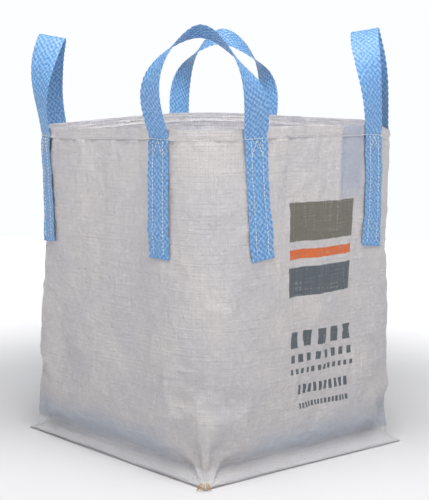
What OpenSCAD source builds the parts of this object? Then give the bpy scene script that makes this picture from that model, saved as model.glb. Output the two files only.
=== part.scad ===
// Bulk bag (flexible intermediate bulk container) with an open top and four
// cross-corner lift loops. The body is one woven tube, gathered to a square
// base by an outward fin seam. Each lift loop is one strap: its two ends are
// sewn down the outside of neighbouring walls and its middle arches over the
// corner between them. The origin is at the middle of the underside of the
// base, with +Z up. Front is -Y, back is +Y, left is -X and right is +X.

/* [Body] */
// Width of the square base between its seams
base_w = 750; // [600:10:800]
// Height of the rim above the floor
body_h = 950; // [800:10:1200]
// Width of the mouth between opposite walls
rim_w = 810; // [810:10:960]
// Corner radius of the mouth
rim_r = 140; // [60:5:140]
// Thickness of the coated woven fabric as it stands, slack included
fabric_t = 2; // [1:0.5:3]

/* [Seams] */
// Depth of the rim's folded hem
hem_h = 28; // [20:1:45]
// Thickness that the hem's turned-in ply adds on the inside
hem_ply = 1.5; // [1:0.5:3]
// How far the fin seam stands out round the base
fin_w = 22; // [15:1:35]
// Height of the root of the fin above the floor
fin_h = 42; // [25:1:60]
// How far the fin's stitching draws the wall in at its root
pinch = 4; // [0:1:8]
// Width of a row of sewing thread
thread_w = 2.4; // [1:0.2:4]
// Thickness of a row of sewing thread
thread_t = 0.9; // [0.5:0.1:1.5]

/* [Lift loops] */
// Width of the webbing
web_w = 75; // [50:5:75]
// Thickness of the webbing
web_t = 2.5; // [1.5:0.5:4]
// Distance from the middle of a wall to the middle of a sewn leg
leg_place = 227; // [150:1:227]
// Length of webbing sewn to the wall below the rim
sewn_h = 345; // [250:5:450]
// Height of the top of a loop above the rim
loop_rise = 275; // [200:5:350]
// Height above the rim of the line that a loop swings about
bend_h = 55; // [40:1:80]
// Outward lean of the top of a loop
loop_lean = 12; // [0:1:40]
// Outward bow of a loop's two sides
loop_bow = 40; // [0:2:60]

/* [Hidden] */

fabric_white = "#D6D4D8";
webbing_blue = "#73A9DE";
thread_white = "#E9E6E0";

base_r = 12;             // corner radius where the wall meets the base
ear_r = 3;               // corner radius of the fin's edge
pinch_top = 120;         // height where the wall is back on its own line
corner_steps = 12;       // facets round each corner of a wall
wall_foot = fabric_t;    // the fin's edge stands on the base panel
row_lift = 0.1;          // clearance of the hem's row over the sloping webbing
over = 1;                // how far a cutting shape runs past a face
gap = 2;                 // clearance between a swinging loop and its neighbours
stitch_inset = 18;       // a sewn row's distance from the middle of the webbing
stitch_end = 32;         // bare webbing below the end of a sewn row
arch_rings = 36;         // cross-sections along a loop
twist = 45;              // turn of the webbing between its leg and its crown

swing_z = body_h + bend_h;
leg_foot_z = body_h - sewn_h;
hem_z = body_h - hem_h;

// How far up the wall height z is, from 0 at its foot to 1 at the rim.
function rise_at(z) = (z - wall_foot) / (body_h - wall_foot);
// Distance from the middle of the bag to the outside of a wall at height z.
function wall_at(z) = (base_w + (rim_w - base_w) * rise_at(z)) / 2;
// Corner radius of the outside of the wall at height z.
function radius_at(z) = base_r + (rim_r - base_r) * rise_at(z);

// ---- Fabric -----------------------------------------------------------------

// The points of a square ring with round corners, half as wide as `half`.
function square_ring(half, radius, z) = [
    for (corner = [0:3], i = [0:corner_steps])
        let (a = 90 * (corner + i / corner_steps), q = 90 * corner + 45)
            [
                (half - radius) * sign(cos(q)) + radius * cos(a),
                (half - radius) * sign(sin(q)) + radius * sin(a),
                z
            ]
];
// The same ring set in from the outside of the wall.
function wall_ring(inset, z) = square_ring(wall_at(z) - inset, radius_at(z) - inset, z);

// A closed band of fabric through a list of rings of equal length.
module ring_band(rings) {
    count = len(rings[0]);
    last = len(rings) - 1;
    polyhedron(
        points = [for (r = rings) each r],
        faces = [
            for (k = [0:last], i = [0:count - 1])
                let (
                    m = k == last ? 0 : k + 1,
                    j = (i + 1) % count,
                    a = k * count + i,
                    b = k * count + j,
                    c = m * count + j,
                    d = m * count + i
                )
                    each [[a, c, b], [a, d, c]]
        ],
        convexity = 6
    );
}

module base_panel() {
    color(fabric_white)
        linear_extrude(fabric_t) square(base_w + 2 * fin_w, center = true);
}

module body_tube() {
    color(fabric_white)
        ring_band([
            wall_ring(pinch, fin_h),
            wall_ring(0, pinch_top),
            wall_ring(0, body_h),
            wall_ring(fabric_t + hem_ply, body_h),
            wall_ring(fabric_t + hem_ply, hem_z),
            wall_ring(fabric_t, hem_z),
            wall_ring(fabric_t, pinch_top),
            wall_ring(pinch + fabric_t, fin_h)
        ]);
}

// A ring on the fin, k of the way from its edge to its root, out from its face by `out`.
function fin_ring(k, out) = square_ring(
    (base_w / 2 + fin_w) * (1 - k) + (wall_at(fin_h) - pinch) * k + out,
    ear_r * (1 - k) + (radius_at(fin_h) - pinch) * k + out,
    wall_foot * (1 - k) + fin_h * k
);

// The tube's foot flares out to the edge of the base panel as a fin.
module base_fin() {
    color(fabric_white)
        ring_band([
            fin_ring(0, 0),
            fin_ring(1, 0),
            fin_ring(1, -fabric_t),
            fin_ring(0, -fabric_t)
        ]);
}

// ---- Webbing ----------------------------------------------------------------

// Turns children from the front wall to the wall that is `turns` quarters round.
module on_wall(turns) {
    rotate([0, 0, 90 * turns]) children();
}

// side is -1 for the leg at the wall's left hand, seen from outside, and 1 for its right.
module leg(turns, side) {
    color(webbing_blue)
        on_wall(turns)
            translate([side * leg_place - web_w / 2, 0, 0])
                rotate([90, 0, 90])
                    linear_extrude(web_w)
                        polygon([
                            [-wall_at(leg_foot_z), leg_foot_z],
                            [-wall_at(body_h), body_h],
                            [-wall_at(body_h) - web_t, body_h],
                            [-wall_at(leg_foot_z) - web_t, leg_foot_z]
                        ]);
}

// The free stretch of webbing just above the rim, where a loop flexes.
module bend(turns, side) {
    color(webbing_blue)
        on_wall(turns)
            translate([
                side * leg_place - web_w / 2,
                -wall_at(body_h) - web_t,
                body_h
            ])
                cube([web_w, web_t, bend_h - gap]);
}

// ---- Swinging part of a loop --------------------------------------------------
// A loop is described in its own axes: u along the line between its two legs,
// w outward from the bag's middle, and z up.

leg_depth = wall_at(body_h) + web_t / 2;   // middle of the webbing's thickness
half_span = (leg_depth - leg_place) / sqrt(2);    // from the loop's middle to a leg
loop_reach = (leg_depth + leg_place) / sqrt(2);   // from the bag's middle to a loop

crown_h = loop_rise - bend_h - web_t / 2;
bow = loop_bow / sqrt(2);
function unit(v) = v / norm(v);

// The middle line of the webbing at angle a round the arch, 0 and 180 at the legs.
function crown(a) = [
    -half_span * cos(a) - bow * sin(2 * a),
    loop_reach + loop_lean * sin(a) + 2 * bow * sin(a) * pow(cos(a), 2),
    swing_z + crown_h * sin(a)
];
function heading(a) = unit(crown(a + 0.5) - crown(a - 0.5));
// The webbing turns from the wall's plane at its legs to level at its crown.
function turn_at(a) = twist * pow(cos(a), 2);
function width_way(a) = let (
        t = heading(a),
        across = unit(cross(t, [0, 1, 0]) * -1),
        level = unit(cross(t, across))
    ) cos(turn_at(a)) * level * (level[1] < 0 ? -1 : 1) + sin(turn_at(a)) * across;
function ring(a) = let (
        c = crown(a),
        w = width_way(a),
        n = unit(cross(w, heading(a)))
    ) [
        c + w * web_w / 2 + n * web_t / 2,
        c - w * web_w / 2 + n * web_t / 2,
        c - w * web_w / 2 - n * web_t / 2,
        c + w * web_w / 2 - n * web_t / 2
    ];

module strap_sweep() {
    points = [for (i = [0:arch_rings]) each ring(180 * i / arch_rings)];
    sides = [
        for (i = [0:arch_rings - 1], k = [0:3])
            let (a = 4 * i + k, b = 4 * i + (k + 1) % 4)
                each [[a, b, b + 4], [a, b + 4, a + 4]]
    ];
    last = 4 * arch_rings;
    ends = [[0, 2, 1], [0, 3, 2], [last, last + 1, last + 2], [last, last + 2, last + 3]];
    polyhedron(points = points, faces = concat(sides, ends), convexity = 4);
}

// The loop over the corner at the left end of the wall that is `turns` quarters round.
module loop(turns) {
    color(webbing_blue)
        on_wall(turns)
            rotate([0, 0, 135])
                strap_sweep();
}

// ---- Sewing thread ------------------------------------------------------------

// Two rows down each leg.
module leg_stitch(turns, side) {
    low = leg_foot_z + stitch_end;
    high = hem_z - 2 * thread_w;
    color(thread_white)
        on_wall(turns)
            for (row = [-stitch_inset, stitch_inset])
                translate([side * leg_place + row - thread_w / 2, 0, 0])
                    rotate([90, 0, 90])
                        linear_extrude(thread_w)
                            polygon([
                                [-wall_at(low) - web_t, low],
                                [-wall_at(high) - web_t, high],
                                [-wall_at(high) - web_t - thread_t, high],
                                [-wall_at(low) - web_t - thread_t, low]
                            ]);
}

// One row round the hem, over the fabric. Where it crosses a leg it lies on the webbing.
module hem_stitch() {
    low = hem_z - thread_w;
    color(thread_white) {
        difference() {
            ring_band([
                wall_ring(-thread_t, low),
                wall_ring(-thread_t, hem_z),
                wall_ring(0, hem_z),
                wall_ring(0, low)
            ]);
            leg_spans(low - over, thread_w + 2 * over, -over, thread_t + 2 * over);
        }
        leg_spans(low, thread_w, web_t + row_lift, thread_t);
    }
}
// A block across each leg, from `high` above the wall's face outward by `depth`.
module leg_spans(z, tall, high, depth) {
    for (turns = [0:3], side = [-1, 1])
        on_wall(turns)
            translate([side * leg_place - web_w / 2, -wall_at(z) - high - depth, z])
                cube([web_w, depth, tall]);
}

// One row along the middle of the fin.
module base_seam_stitch() {
    half_row = thread_w / 2 / fin_h;
    color(thread_white)
        ring_band([
            fin_ring(0.5 - half_row, thread_t),
            fin_ring(0.5 + half_row, thread_t),
            fin_ring(0.5 + half_row, 0),
            fin_ring(0.5 - half_row, 0)
        ]);
}

// ---- Nodes ----------------------------------------------------------------------

base_panel();
base_fin();
body_tube();
hem_stitch();
base_seam_stitch();

loop(0);  // loop_front_left
loop(1);  // loop_front_right
loop(2);  // loop_back_right
loop(3);  // loop_back_left

bend(0, -1);  // bend_front_wall_left
bend(0, 1);  // bend_front_wall_right
bend(1, -1);  // bend_right_wall_front
bend(1, 1);  // bend_right_wall_back
bend(2, -1);  // bend_back_wall_right
bend(2, 1);  // bend_back_wall_left
bend(3, -1);  // bend_left_wall_back
bend(3, 1);  // bend_left_wall_front

leg(0, -1);  // leg_front_wall_left
leg(0, 1);  // leg_front_wall_right
leg(1, -1);  // leg_right_wall_front
leg(1, 1);  // leg_right_wall_back
leg(2, -1);  // leg_back_wall_right
leg(2, 1);  // leg_back_wall_left
leg(3, -1);  // leg_left_wall_back
leg(3, 1);  // leg_left_wall_front

leg_stitch(0, -1);  // stitch_front_wall_left
leg_stitch(0, 1);  // stitch_front_wall_right
leg_stitch(1, -1);  // stitch_right_wall_front
leg_stitch(1, 1);  // stitch_right_wall_back
leg_stitch(2, -1);  // stitch_back_wall_right
leg_stitch(2, 1);  // stitch_back_wall_left
leg_stitch(3, -1);  // stitch_left_wall_back
leg_stitch(3, 1);  // stitch_left_wall_front
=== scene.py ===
"""Looks of the bulk bag: fabric, webbing, sewing thread, print and a plain stage."""

import math

import bmesh
import bpy
from mathutils import Matrix, Vector, noise


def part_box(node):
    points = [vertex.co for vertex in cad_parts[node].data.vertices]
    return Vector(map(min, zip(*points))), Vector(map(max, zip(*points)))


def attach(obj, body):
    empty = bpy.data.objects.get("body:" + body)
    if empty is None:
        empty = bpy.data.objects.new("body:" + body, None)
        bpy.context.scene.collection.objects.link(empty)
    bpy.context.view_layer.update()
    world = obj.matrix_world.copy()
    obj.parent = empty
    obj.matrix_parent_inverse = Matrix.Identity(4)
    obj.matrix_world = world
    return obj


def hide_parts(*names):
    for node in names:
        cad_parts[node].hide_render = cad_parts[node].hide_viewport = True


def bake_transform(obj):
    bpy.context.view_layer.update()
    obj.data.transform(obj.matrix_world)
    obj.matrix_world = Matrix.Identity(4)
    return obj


bl_info = {
    "name": "Bulk bag with lift loops",
    "version": (1, 0, 0),
    "blender": (4, 5, 0),
    "location": "View3D > Sidebar > Bulk bag",
    "description": "Builds a woven bulk bag with webbing lift loops around its frame",
    "category": "Object",
}

MM = 0.001

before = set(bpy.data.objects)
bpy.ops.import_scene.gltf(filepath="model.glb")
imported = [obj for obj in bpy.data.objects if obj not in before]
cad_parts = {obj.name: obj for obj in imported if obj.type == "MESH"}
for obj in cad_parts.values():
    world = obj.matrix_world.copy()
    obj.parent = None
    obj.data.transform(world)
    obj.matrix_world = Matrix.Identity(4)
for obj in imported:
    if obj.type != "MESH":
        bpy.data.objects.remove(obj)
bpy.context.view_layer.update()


# ---- Sizes taken from the frame ------------------------------------------------------

RIM_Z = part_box("body_tube")[1][2]
FIN_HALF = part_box("base_panel")[1][0]
FIN_ROOT_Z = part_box("base_fin")[1][2]
FLOOR_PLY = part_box("base_panel")[1][2]
FOOT_HALF = 0.375  # half the base between its seams
GIRTH = 3.0  # the flat cloth's length round the bag
NEAR_CORNER = 0.875  # how far round the bag its front left corner is

# The walls in order round the bag, seen from above, from the front.
WALLS = ["front", "right", "back", "left"]


def leg_middle(node):
    """How far a sewn leg's middle is from the middle of its wall, and its foot's height."""
    low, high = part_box(node)
    across = 0 if high[0] - low[0] > high[1] - low[1] else 1
    return abs(low[across] + high[across]) / 2, low[2]


LEG_PLACE, LEG_FOOT_Z = leg_middle("leg_front_wall_left")


# ---- Properties ----------------------------------------------------------------------


def hex_rgb(text):
    """A linear colour from sRGB hex."""
    parts = [int(text[i : i + 2], 16) / 255 for i in (1, 3, 5)]
    return tuple(
        c / 12.92 if c <= 0.04045 else ((c + 0.055) / 1.055) ** 2.4 for c in parts
    )


def size_prop(name, what, default, low, high):
    return bpy.props.FloatProperty(
        name=name,
        description=what,
        default=default,
        min=low,
        max=high,
        subtype="DISTANCE",
        unit="LENGTH",
        precision=4,
    )


def colour_prop(name, what, default):
    return bpy.props.FloatVectorProperty(
        name=name,
        description=what,
        default=hex_rgb(default),
        min=0,
        max=1,
        size=3,
        subtype="COLOR",
    )


class BagSizes(bpy.types.PropertyGroup):
    rim_half: size_prop(
        "Mouth half width", "Half the mouth between opposite walls", 0.408, 0.39, 0.43
    )
    rim_radius: size_prop(
        "Mouth corner radius", "Corner radius of the mouth", 0.168, 0.05, 0.2
    )
    foot_radius: size_prop(
        "Foot corner radius", "Corner radius of the walls at the base", 0.016, 0.01, 0.05
    )
    ply: size_prop(
        "Fabric thickness", "Thickness of one ply of fabric as drawn", 0.0011, 0.0005, 0.003
    )
    hem_depth: size_prop("Hem depth", "Depth of the folded hem", 0.028, 0.015, 0.05)
    web_width: size_prop("Webbing width", "Width of the lift webbing", 0.080, 0.05, 0.1)
    web_thickness: size_prop(
        "Webbing thickness", "Thickness of the lift webbing", 0.0026, 0.001, 0.005
    )
    stitch_length: size_prop(
        "Stitch length", "Length of one sewing stitch", 0.0095, 0.004, 0.02
    )
    thread_width: size_prop(
        "Thread width", "Width of the sewing thread", 0.0026, 0.0008, 0.004
    )


class BagColours(bpy.types.PropertyGroup):
    fabric: colour_prop("Fabric", "Woven fabric", "#D0CBC9")
    fabric_shade: colour_prop("Fabric shade", "Cooler, duller patches of fabric", "#C4C2C4")
    webbing: colour_prop("Webbing", "Raised yarns of the webbing", "#7FAEDA")
    # Painted shade: the valleys between the webbing's cords are drawn in this darker blue.
    webbing_valley_shade: colour_prop("Webbing valleys", "Sunk yarns of the webbing", "#598BC2")
    thread: colour_prop("Thread", "Sewing thread", "#ECE8DE")
    print_main: colour_prop("Print main", "Widest band of the print", "#6C695D")
    print_warm: colour_prop("Print warm", "Warm band of the print", "#D8661F")
    print_cool: colour_prop("Print cool", "Cool band and small blocks of the print", "#4F5A60")


def sizes():
    return bpy.context.scene.bag_sizes


def colours():
    return bpy.context.scene.bag_colours


# ---- Shape of the walls --------------------------------------------------------------


def mix(a, b, k):
    return a + (b - a) * k


def smooth(low, high, x):
    """0 below low, 1 above high, and a smooth step between."""
    k = min(1.0, max(0.0, (x - low) / (high - low)))
    return k * k * (3 - 2 * k)


def hump(x, middle, reach):
    """1 at middle, falling smoothly to 0 at reach either side."""
    return 1 - smooth(0, reach, abs(x - middle))


def ripple(x, y, z=0.0):
    return noise.noise(Vector((x, y, z)))


def wall_half(z):
    return mix(FOOT_HALF, sizes().rim_half, min(1, max(0, z / RIM_Z)))


def wall_radius(z):
    k = min(1, max(0, z / RIM_Z))
    return mix(sizes().foot_radius, sizes().rim_radius, k**0.85)


def turned(x, y, quarter):
    """The point x, y of the front wall's own plan, turned to a later wall."""
    for _ in range(quarter % 4):
        x, y = -y, x
    return x, y


def plan(t, z):
    """Where t of the way round the wall is at height z, and the outward direction.

    t is 0 in the middle of the front wall and grows towards the right wall.
    """
    half, radius = wall_half(z), wall_radius(z)
    flat = half - radius
    quarter = int(math.floor(t * 4 + 0.5))
    along = (t * 4 - quarter) * 2 * (flat + math.pi * radius / 4)
    side = 1 if along >= 0 else -1
    turn = max(0.0, abs(along) - flat) / radius
    x = side * (min(abs(along), flat) + radius * math.sin(turn))
    y = -(half - radius * (1 - math.cos(turn)))
    nx, ny = side * math.sin(turn), -math.cos(turn)
    px, py = turned(x, y, quarter)
    qx, qy = turned(nx, ny, quarter)
    return px, py, qx, qy


def leg_t(wall, side, off, z):
    """How far round the wall a point `off` from the middle of a leg is."""
    half, radius = wall_half(z), wall_radius(z)
    flat = half - radius
    reach = side * LEG_PLACE + off
    a = abs(reach)
    if a > flat:
        a = flat + radius * math.asin(min(1, (a - flat) / radius))
    half_wall = flat + math.pi * radius / 4
    return (WALLS.index(wall) + math.copysign(a, reach) / (2 * half_wall)) / 4


def near(t, middle, reach):
    """1 where t is middle, falling smoothly to 0 at reach either side, round the bag."""
    away = abs((t - middle + 0.5) % 1.0 - 0.5)
    return 1 - smooth(0, reach, away)


def rim_rise(t):
    """The mouth droops at its left and right corners and stands up towards the front."""
    return MM * (
        8 * near(t, 0.955, 0.13) - 24 * near(t, 0.125, 0.06) - 25 * near(t, 0.63, 0.2)
    )


def lean(x, y, z, t):
    """How far the standing bag has slumped sideways at a point."""
    low = 1 - z / RIM_Z
    side = (x - y) / math.sqrt(2)
    dx = dy = -0.045 * side * low / math.sqrt(2)
    # Two corners of the mouth are pushed back, with a crease where the wall bends.
    high = smooth(0.45, 0.88, z)
    a = ((t + 0.5) % 1.0) - 0.5
    right = min(1, max(0, (a - 0.034) / 0.071)) ** 0.7 * (1 - smooth(0.15, 0.27, a))
    b = ((0.707 - t + 0.5) % 1.0) - 0.5
    left = min(1, max(0, b / 0.062)) * (1 - smooth(0.107, 0.227, b))
    dx += high * (0.050 * right + 0.030 * left)
    dy += high * (0.041 * right + 0.046 * left)
    return dx, dy


def corner_folds(z, t):
    """Folds that fan out from the foot of each corner, in metres."""
    corner = 0.125 + 0.25 * math.floor(t % 1.0 * 4)
    across = (t % 1.0 - corner) * GIRTH
    rise = z - 0.030
    reach = math.hypot(across, rise)
    if reach > 0.32 or rise < 0:
        return 0.0
    # The folds at the front left corner are the deepest.
    depth, bulge = (10.0, 9.0) if abs(corner - NEAR_CORNER) < 0.01 else (6.5, 5.0)
    fan = math.atan2(across, rise) + 0.25 * ripple(reach * 14, corner * 9)
    fade = smooth(0.0, 0.05, reach) * (1 - smooth(0.06, 0.20, reach))
    folds = depth * fade * (math.cos(fan * 6.6) - 0.35)
    # Over the folds the corner swells out smooth again.
    ring = math.exp(-(((reach - 0.15) / 0.055) ** 2))
    return (folds + bulge * ring * math.cos(fan * 0.8)) * MM


# Lines pressed in when the bag was packed flat: round the bag, and up it in metres.
PRESSED_UPRIGHT = (0.737, 0.93, 0.985, 0.27, 0.49)
PRESSED_LEVEL = (0.335, 0.59)


def dent(x, y, z, t):
    """How far the fabric stands out of its plain shape, in metres."""
    calm = 1 - 0.5 * smooth(0.80, 0.93, z)
    # Slow, hand-sized hollows and swells, and shallow crumples between them.
    slow = ripple(x * 2.6 + 3.1, y * 2.6, z * 2.2) * 10.0
    middle = ripple(x * 6 - 1.7, y * 6, z * 4.5 + 9) * 4.6
    small = ripple(x * 13 - 1.7, y * 13, z * 12 + 2) * 3.0
    warp = ripple(x * 5, y * 5, z * 5 + 4) * 0.5
    ridge = 1 - abs(ripple((x + y) * 5 + warp, (x - y) * 5, z * 7 + warp * 3)) * 5.5
    ridge_b = 1 - abs(ripple((x - y) * 9 + 5, z * 8, (x + y) * 6 + warp)) * 6
    crumple = max(0.0, ridge) ** 2 * 3.2 + max(0.0, ridge_b) ** 2 * 2.2
    fine = ripple(x * 32, y * 32, z * 30) * 1.1 + ripple(x * 58, y * 58, z * 50) * 0.4
    out = (slow + middle + small + crumple) * calm + fine
    upright = smooth(0.12, 0.25, z) * (1 - smooth(0.6, 0.8, z))
    for line in PRESSED_UPRIGHT:
        out -= 1.6 * near(t, line, 0.0045) * upright
    out -= 6.0 * near(t, 0.0385, 0.010) * smooth(0.62, 0.80, z)
    for level in PRESSED_LEVEL:
        out -= 1.3 * hump(z + 0.012 * ripple(t * 7, level), level, 0.012)
    # The slack wall swells above the seam and tucks in under it.
    swell = (18 + 9 * ripple(t * 15, 1.0)) * smooth(0.045, 0.185, z)
    swell *= 1 - smooth(0.21, 0.55, z)
    swell *= 1 - 0.65 * max(near(t, 0.125 + 0.25 * k, 0.045) for k in range(4))
    out += swell
    return out * MM * smooth(0.03, 0.10, z) + corner_folds(z, t)


def place_in(values, x):
    """The place in a rising list of the last value up to x, and never the last place."""
    low, high = 0, len(values) - 1
    while high - low > 1:
        middle = (low + high) // 2
        if values[middle] <= x:
            low = middle
        else:
            high = middle
    return low


def shares(count):
    """Even steps from 0 to 1."""
    return [i / count for i in range(count + 1)]


class Skin:
    """The outer face of the walls as built, to lay other pieces on."""

    around = 0
    heights = []
    points = []
    outs = []

    @classmethod
    def at(cls, t, z, lift=0.0):
        """The point t of the way round at height z up the cloth, and its outward direction."""
        column = (t % 1.0) * cls.around
        c0 = int(column) % cls.around
        c1 = (c0 + 1) % cls.around
        kc = column - int(column)
        rows = cls.heights
        z = min(max(z, rows[0]), rows[-1])
        r = place_in(rows, z)
        kr = (z - rows[r]) / (rows[r + 1] - rows[r])

        def blend(grid):
            under, over = (grid[row][c0].lerp(grid[row][c1], kc) for row in (r, r + 1))
            return under.lerp(over, kr)

        out = blend(cls.outs).normalized()
        return blend(cls.points) + out * lift, out


# ---- Mesh helpers --------------------------------------------------------------------


def placed(name, data):
    item = bpy.data.objects.new(name, data)
    bpy.context.collection.objects.link(item)
    return item


def new_piece(name, bm, material, body="bag", smooth_faces=True):
    """Turns a bmesh into a finished piece that rides on a body."""
    mesh = bpy.data.meshes.new(name)
    if smooth_faces:
        for face in bm.faces:
            face.smooth = True
    bm.to_mesh(mesh)
    bm.free()
    piece = placed(name, mesh)
    mesh.materials.append(material)
    if body:
        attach(piece, body)
    return piece


def tube_grid(around, rows):
    """A sheet of around by rows - 1 faces, and where each vertex is in it.

    Its first and last columns meet once its vertices are placed.
    """
    bm = bmesh.new()
    bmesh.ops.create_grid(bm, x_segments=around, y_segments=rows - 1, size=0.5)
    bm.verts.index_update()
    place = [
        (round((v.co.x + 0.5) * around), round((v.co.y + 0.5) * (rows - 1)))
        for v in bm.verts
    ]
    return bm, place


def keep_uv(bm, place, u_of, v_of):
    """Writes a UV map in metres, u round the tube and v along it."""
    layer = bm.loops.layers.uv.new("UVMap")
    us = [u_of(c) for c in range(max(c for c, _ in place) + 1)]
    vs = [v_of(r) for r in range(max(r for _, r in place) + 1)]
    for face in bm.faces:
        for loop in face.loops:
            column, row = place[loop.vert.index]
            loop[layer].uv = (us[column], vs[row])


def weld_seam(bm, place, around):
    """Welds the last column of a tube's sheet to the first."""
    bm.verts.ensure_lookup_table()
    first = {row: i for i, (column, row) in enumerate(place) if column == 0}
    pairs = {
        bm.verts[i]: bm.verts[first[row]]
        for i, (column, row) in enumerate(place)
        if column == around
    }
    bmesh.ops.weld_verts(bm, targetmap=pairs)


def face_outwards(bm):
    bmesh.ops.recalc_face_normals(bm, faces=bm.faces)


# ---- Material helpers ----------------------------------------------------------------


def fill(tree, node, inputs):
    """Links or fills a node's inputs."""
    for key, value in inputs.items():
        if isinstance(value, bpy.types.NodeSocket):
            tree.links.new(value, node.inputs[key])
        else:
            node.inputs[key].default_value = value


def add(tree, kind, inputs=None, **settings):
    """Adds a node, sets it up, and links or fills its inputs."""
    node = tree.nodes.new(kind)
    for key, value in settings.items():
        setattr(node, key, value)
    fill(tree, node, inputs or {})
    return node


def maths(tree, operation, a, b=0.0, c=0.0):
    inputs = {0: a, 1: b, 2: c}
    return add(tree, "ShaderNodeMath", inputs, operation=operation).outputs[0]


def product(tree, *factors):
    value = factors[0]
    for factor in factors[1:]:
        value = maths(tree, "MULTIPLY", value, factor)
    return value


def split(tree, vector):
    """The three coordinates of a vector."""
    return add(tree, "ShaderNodeSeparateXYZ", {0: vector}).outputs


def measure(tree, operation, output="Value", **vectors):
    """A number got from one vector or two, a and b."""
    inputs = {i: vectors[key] for i, key in enumerate("ab") if key in vectors}
    return add(tree, "ShaderNodeVectorMath", inputs, operation=operation).outputs[output]


def rgba(colour):
    return (*colour, 1.0)


def blend_colour(tree, k, a, b):
    return add(tree, "ShaderNodeMix", {0: k, 6: a, 7: b}, data_type="RGBA").outputs[2]


def stain(tree, tone, hue, mask, share=1.0):
    """A colour tinted with a hex hue where a mask is, and by no more than a share."""
    return blend_colour(tree, product(tree, mask, share), tone, rgba(hex_rgb(hue)))


def ramp(tree, value, low, high):
    """0 below low, 1 above high, and a smooth step between."""
    inputs = {"Value": value, "From Min": low, "From Max": high}
    return add(
        tree, "ShaderNodeMapRange", inputs, interpolation_type="SMOOTHSTEP"
    ).outputs[0]


def noise_at(tree, vector, scale, detail=2.0, rough=0.5):
    inputs = {"Vector": vector, "Scale": scale, "Detail": detail, "Roughness": rough}
    return add(tree, "ShaderNodeTexNoise", inputs).outputs[0]


def grain(tree, uv, across, along, rough=0.5):
    """Noise drawn out along the cloth, with its scale across and along."""
    inputs = {"Vector": uv, "Scale": (across, along, 1.0)}
    stretched = add(tree, "ShaderNodeMapping", inputs).outputs[0]
    return noise_at(tree, stretched, 1.0, 2.0, rough)


def bumped(tree, height, distance, strength=1.0, under=None):
    """A normal bent by a height, over another normal if there is one."""
    inputs = {"Height": height, "Strength": strength, "Distance": distance}
    if under is not None:
        inputs["Normal"] = under
    return add(tree, "ShaderNodeBump", inputs).outputs[0]


def coordinates(tree, kind):
    return add(tree, "ShaderNodeTexCoord").outputs[kind]


def start_material(name):
    material = bpy.data.materials.new(name)
    material.use_nodes = True
    tree = material.node_tree
    tree.nodes.clear()
    shader = add(tree, "ShaderNodeBsdfPrincipled")
    add(tree, "ShaderNodeOutputMaterial", {"Surface": shader.outputs[0]})
    return material, tree, shader


TAPE_PITCH = 5.6 * MM  # real tapes are about 2.5 mm wide; drawn wider so that they show
PLASTIC_IOR = 1.49


def woven_polypropylene(name="woven_polypropylene", printed=False):
    """Flat-tape polypropylene, circular woven and coated: off-white, a satin skin
    over a fine square grid of tapes, cooler where it is thin and dull where handled."""
    material, tree, shader = start_material(name)
    hues = colours()
    uv = coordinates(tree, "UV")
    spot = coordinates(tree, "Object")
    u, v, _ = split(tree, uv)

    # Over-and-under tapes: each crossing is a small pillow.
    wave_u, wave_v = (
        maths(tree, "SINE", product(tree, way, math.pi / TAPE_PITCH)) for way in (u, v)
    )
    weave = product(tree, maths(tree, "ADD", product(tree, wave_u, 0.3), 0.7), wave_v)

    mottle = noise_at(tree, spot, 5.0, 3.0, 0.55)
    patch = noise_at(tree, spot, 17.0, 4.0, 0.6)
    streak = grain(tree, uv, 190.0, 9.0)
    tapes = maths(tree, "ADD", streak, grain(tree, uv, 7.0, 210.0))
    tone = blend_colour(
        tree, ramp(tree, mottle, 0.35, 0.72), rgba(hues.fabric), rgba(hues.fabric_shade)
    )
    tone = stain(tree, tone, "#B9B8BD", ramp(tree, tapes, 0.85, 1.25), 0.26)
    # Small dull and bright spots where the coating is crazed from handling.
    specks = noise_at(tree, spot, 75.0, 3.0, 0.7)
    tone = stain(tree, tone, "#AEADB4", ramp(tree, specks, 0.50, 0.72), 0.22)
    tone = stain(tree, tone, "#EFEDEE", ramp(tree, specks, 0.48, 0.30), 0.22)
    # Painted shade: the low places of the weave, where one tape dives under another, are drawn a
    # little darker.
    tone = stain(tree, tone, "#A9A9B0", ramp(tree, weave, 0.1, -0.9), 0.10)
    if printed:
        # Positive on the outer side of the walls, negative on the inner side.
        normal = add(tree, "ShaderNodeNewGeometry").outputs["Normal"]
        facing = measure(tree, "DOT_PRODUCT", a=normal, b=spot)
        outer = ramp(tree, facing, -0.05, 0.05)
        tone = painted_wall_shading(tree, tone, spot, outer, streak)
        tone = front_print(tree, tone, u, v, outer, patch, tapes)
        # The cloth is thin enough to let daylight through to the inner side of the walls.
        # Painted light: the inner side of the walls glows, more towards the top, in place of
        # daylight let through the thin cloth.
        inner = ramp(tree, facing, -0.05, -0.15)
        glow = product(tree, inner, ramp(tree, split(tree, spot)[2], 0.35, 0.85), 0.17)
        painted_daylight = rgba(hex_rgb("#E0E6F6"))
        fill(tree, shader, {"Emission Strength": glow, "Emission Color": painted_daylight})
    crinkle = maths(tree, "ADD", noise_at(tree, spot, 48.0, 3.0, 0.6), tapes)
    height = maths(tree, "ADD", product(tree, weave, 0.14), product(tree, crinkle, 1.5))
    fine = bumped(tree, height, 0.0021)
    # Hand-sized crumples stay pressed into the coated cloth.
    rumple = noise_at(tree, spot, 15.0, 5.0, 0.62)
    surface = {
        "Base Color": tone,
        "Normal": bumped(tree, rumple, 0.010, under=fine),
        "Roughness": maths(tree, "MULTIPLY_ADD", patch, 0.16, 0.40),
        "IOR": PLASTIC_IOR,
    }
    fill(tree, shader, surface)
    return material


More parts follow.
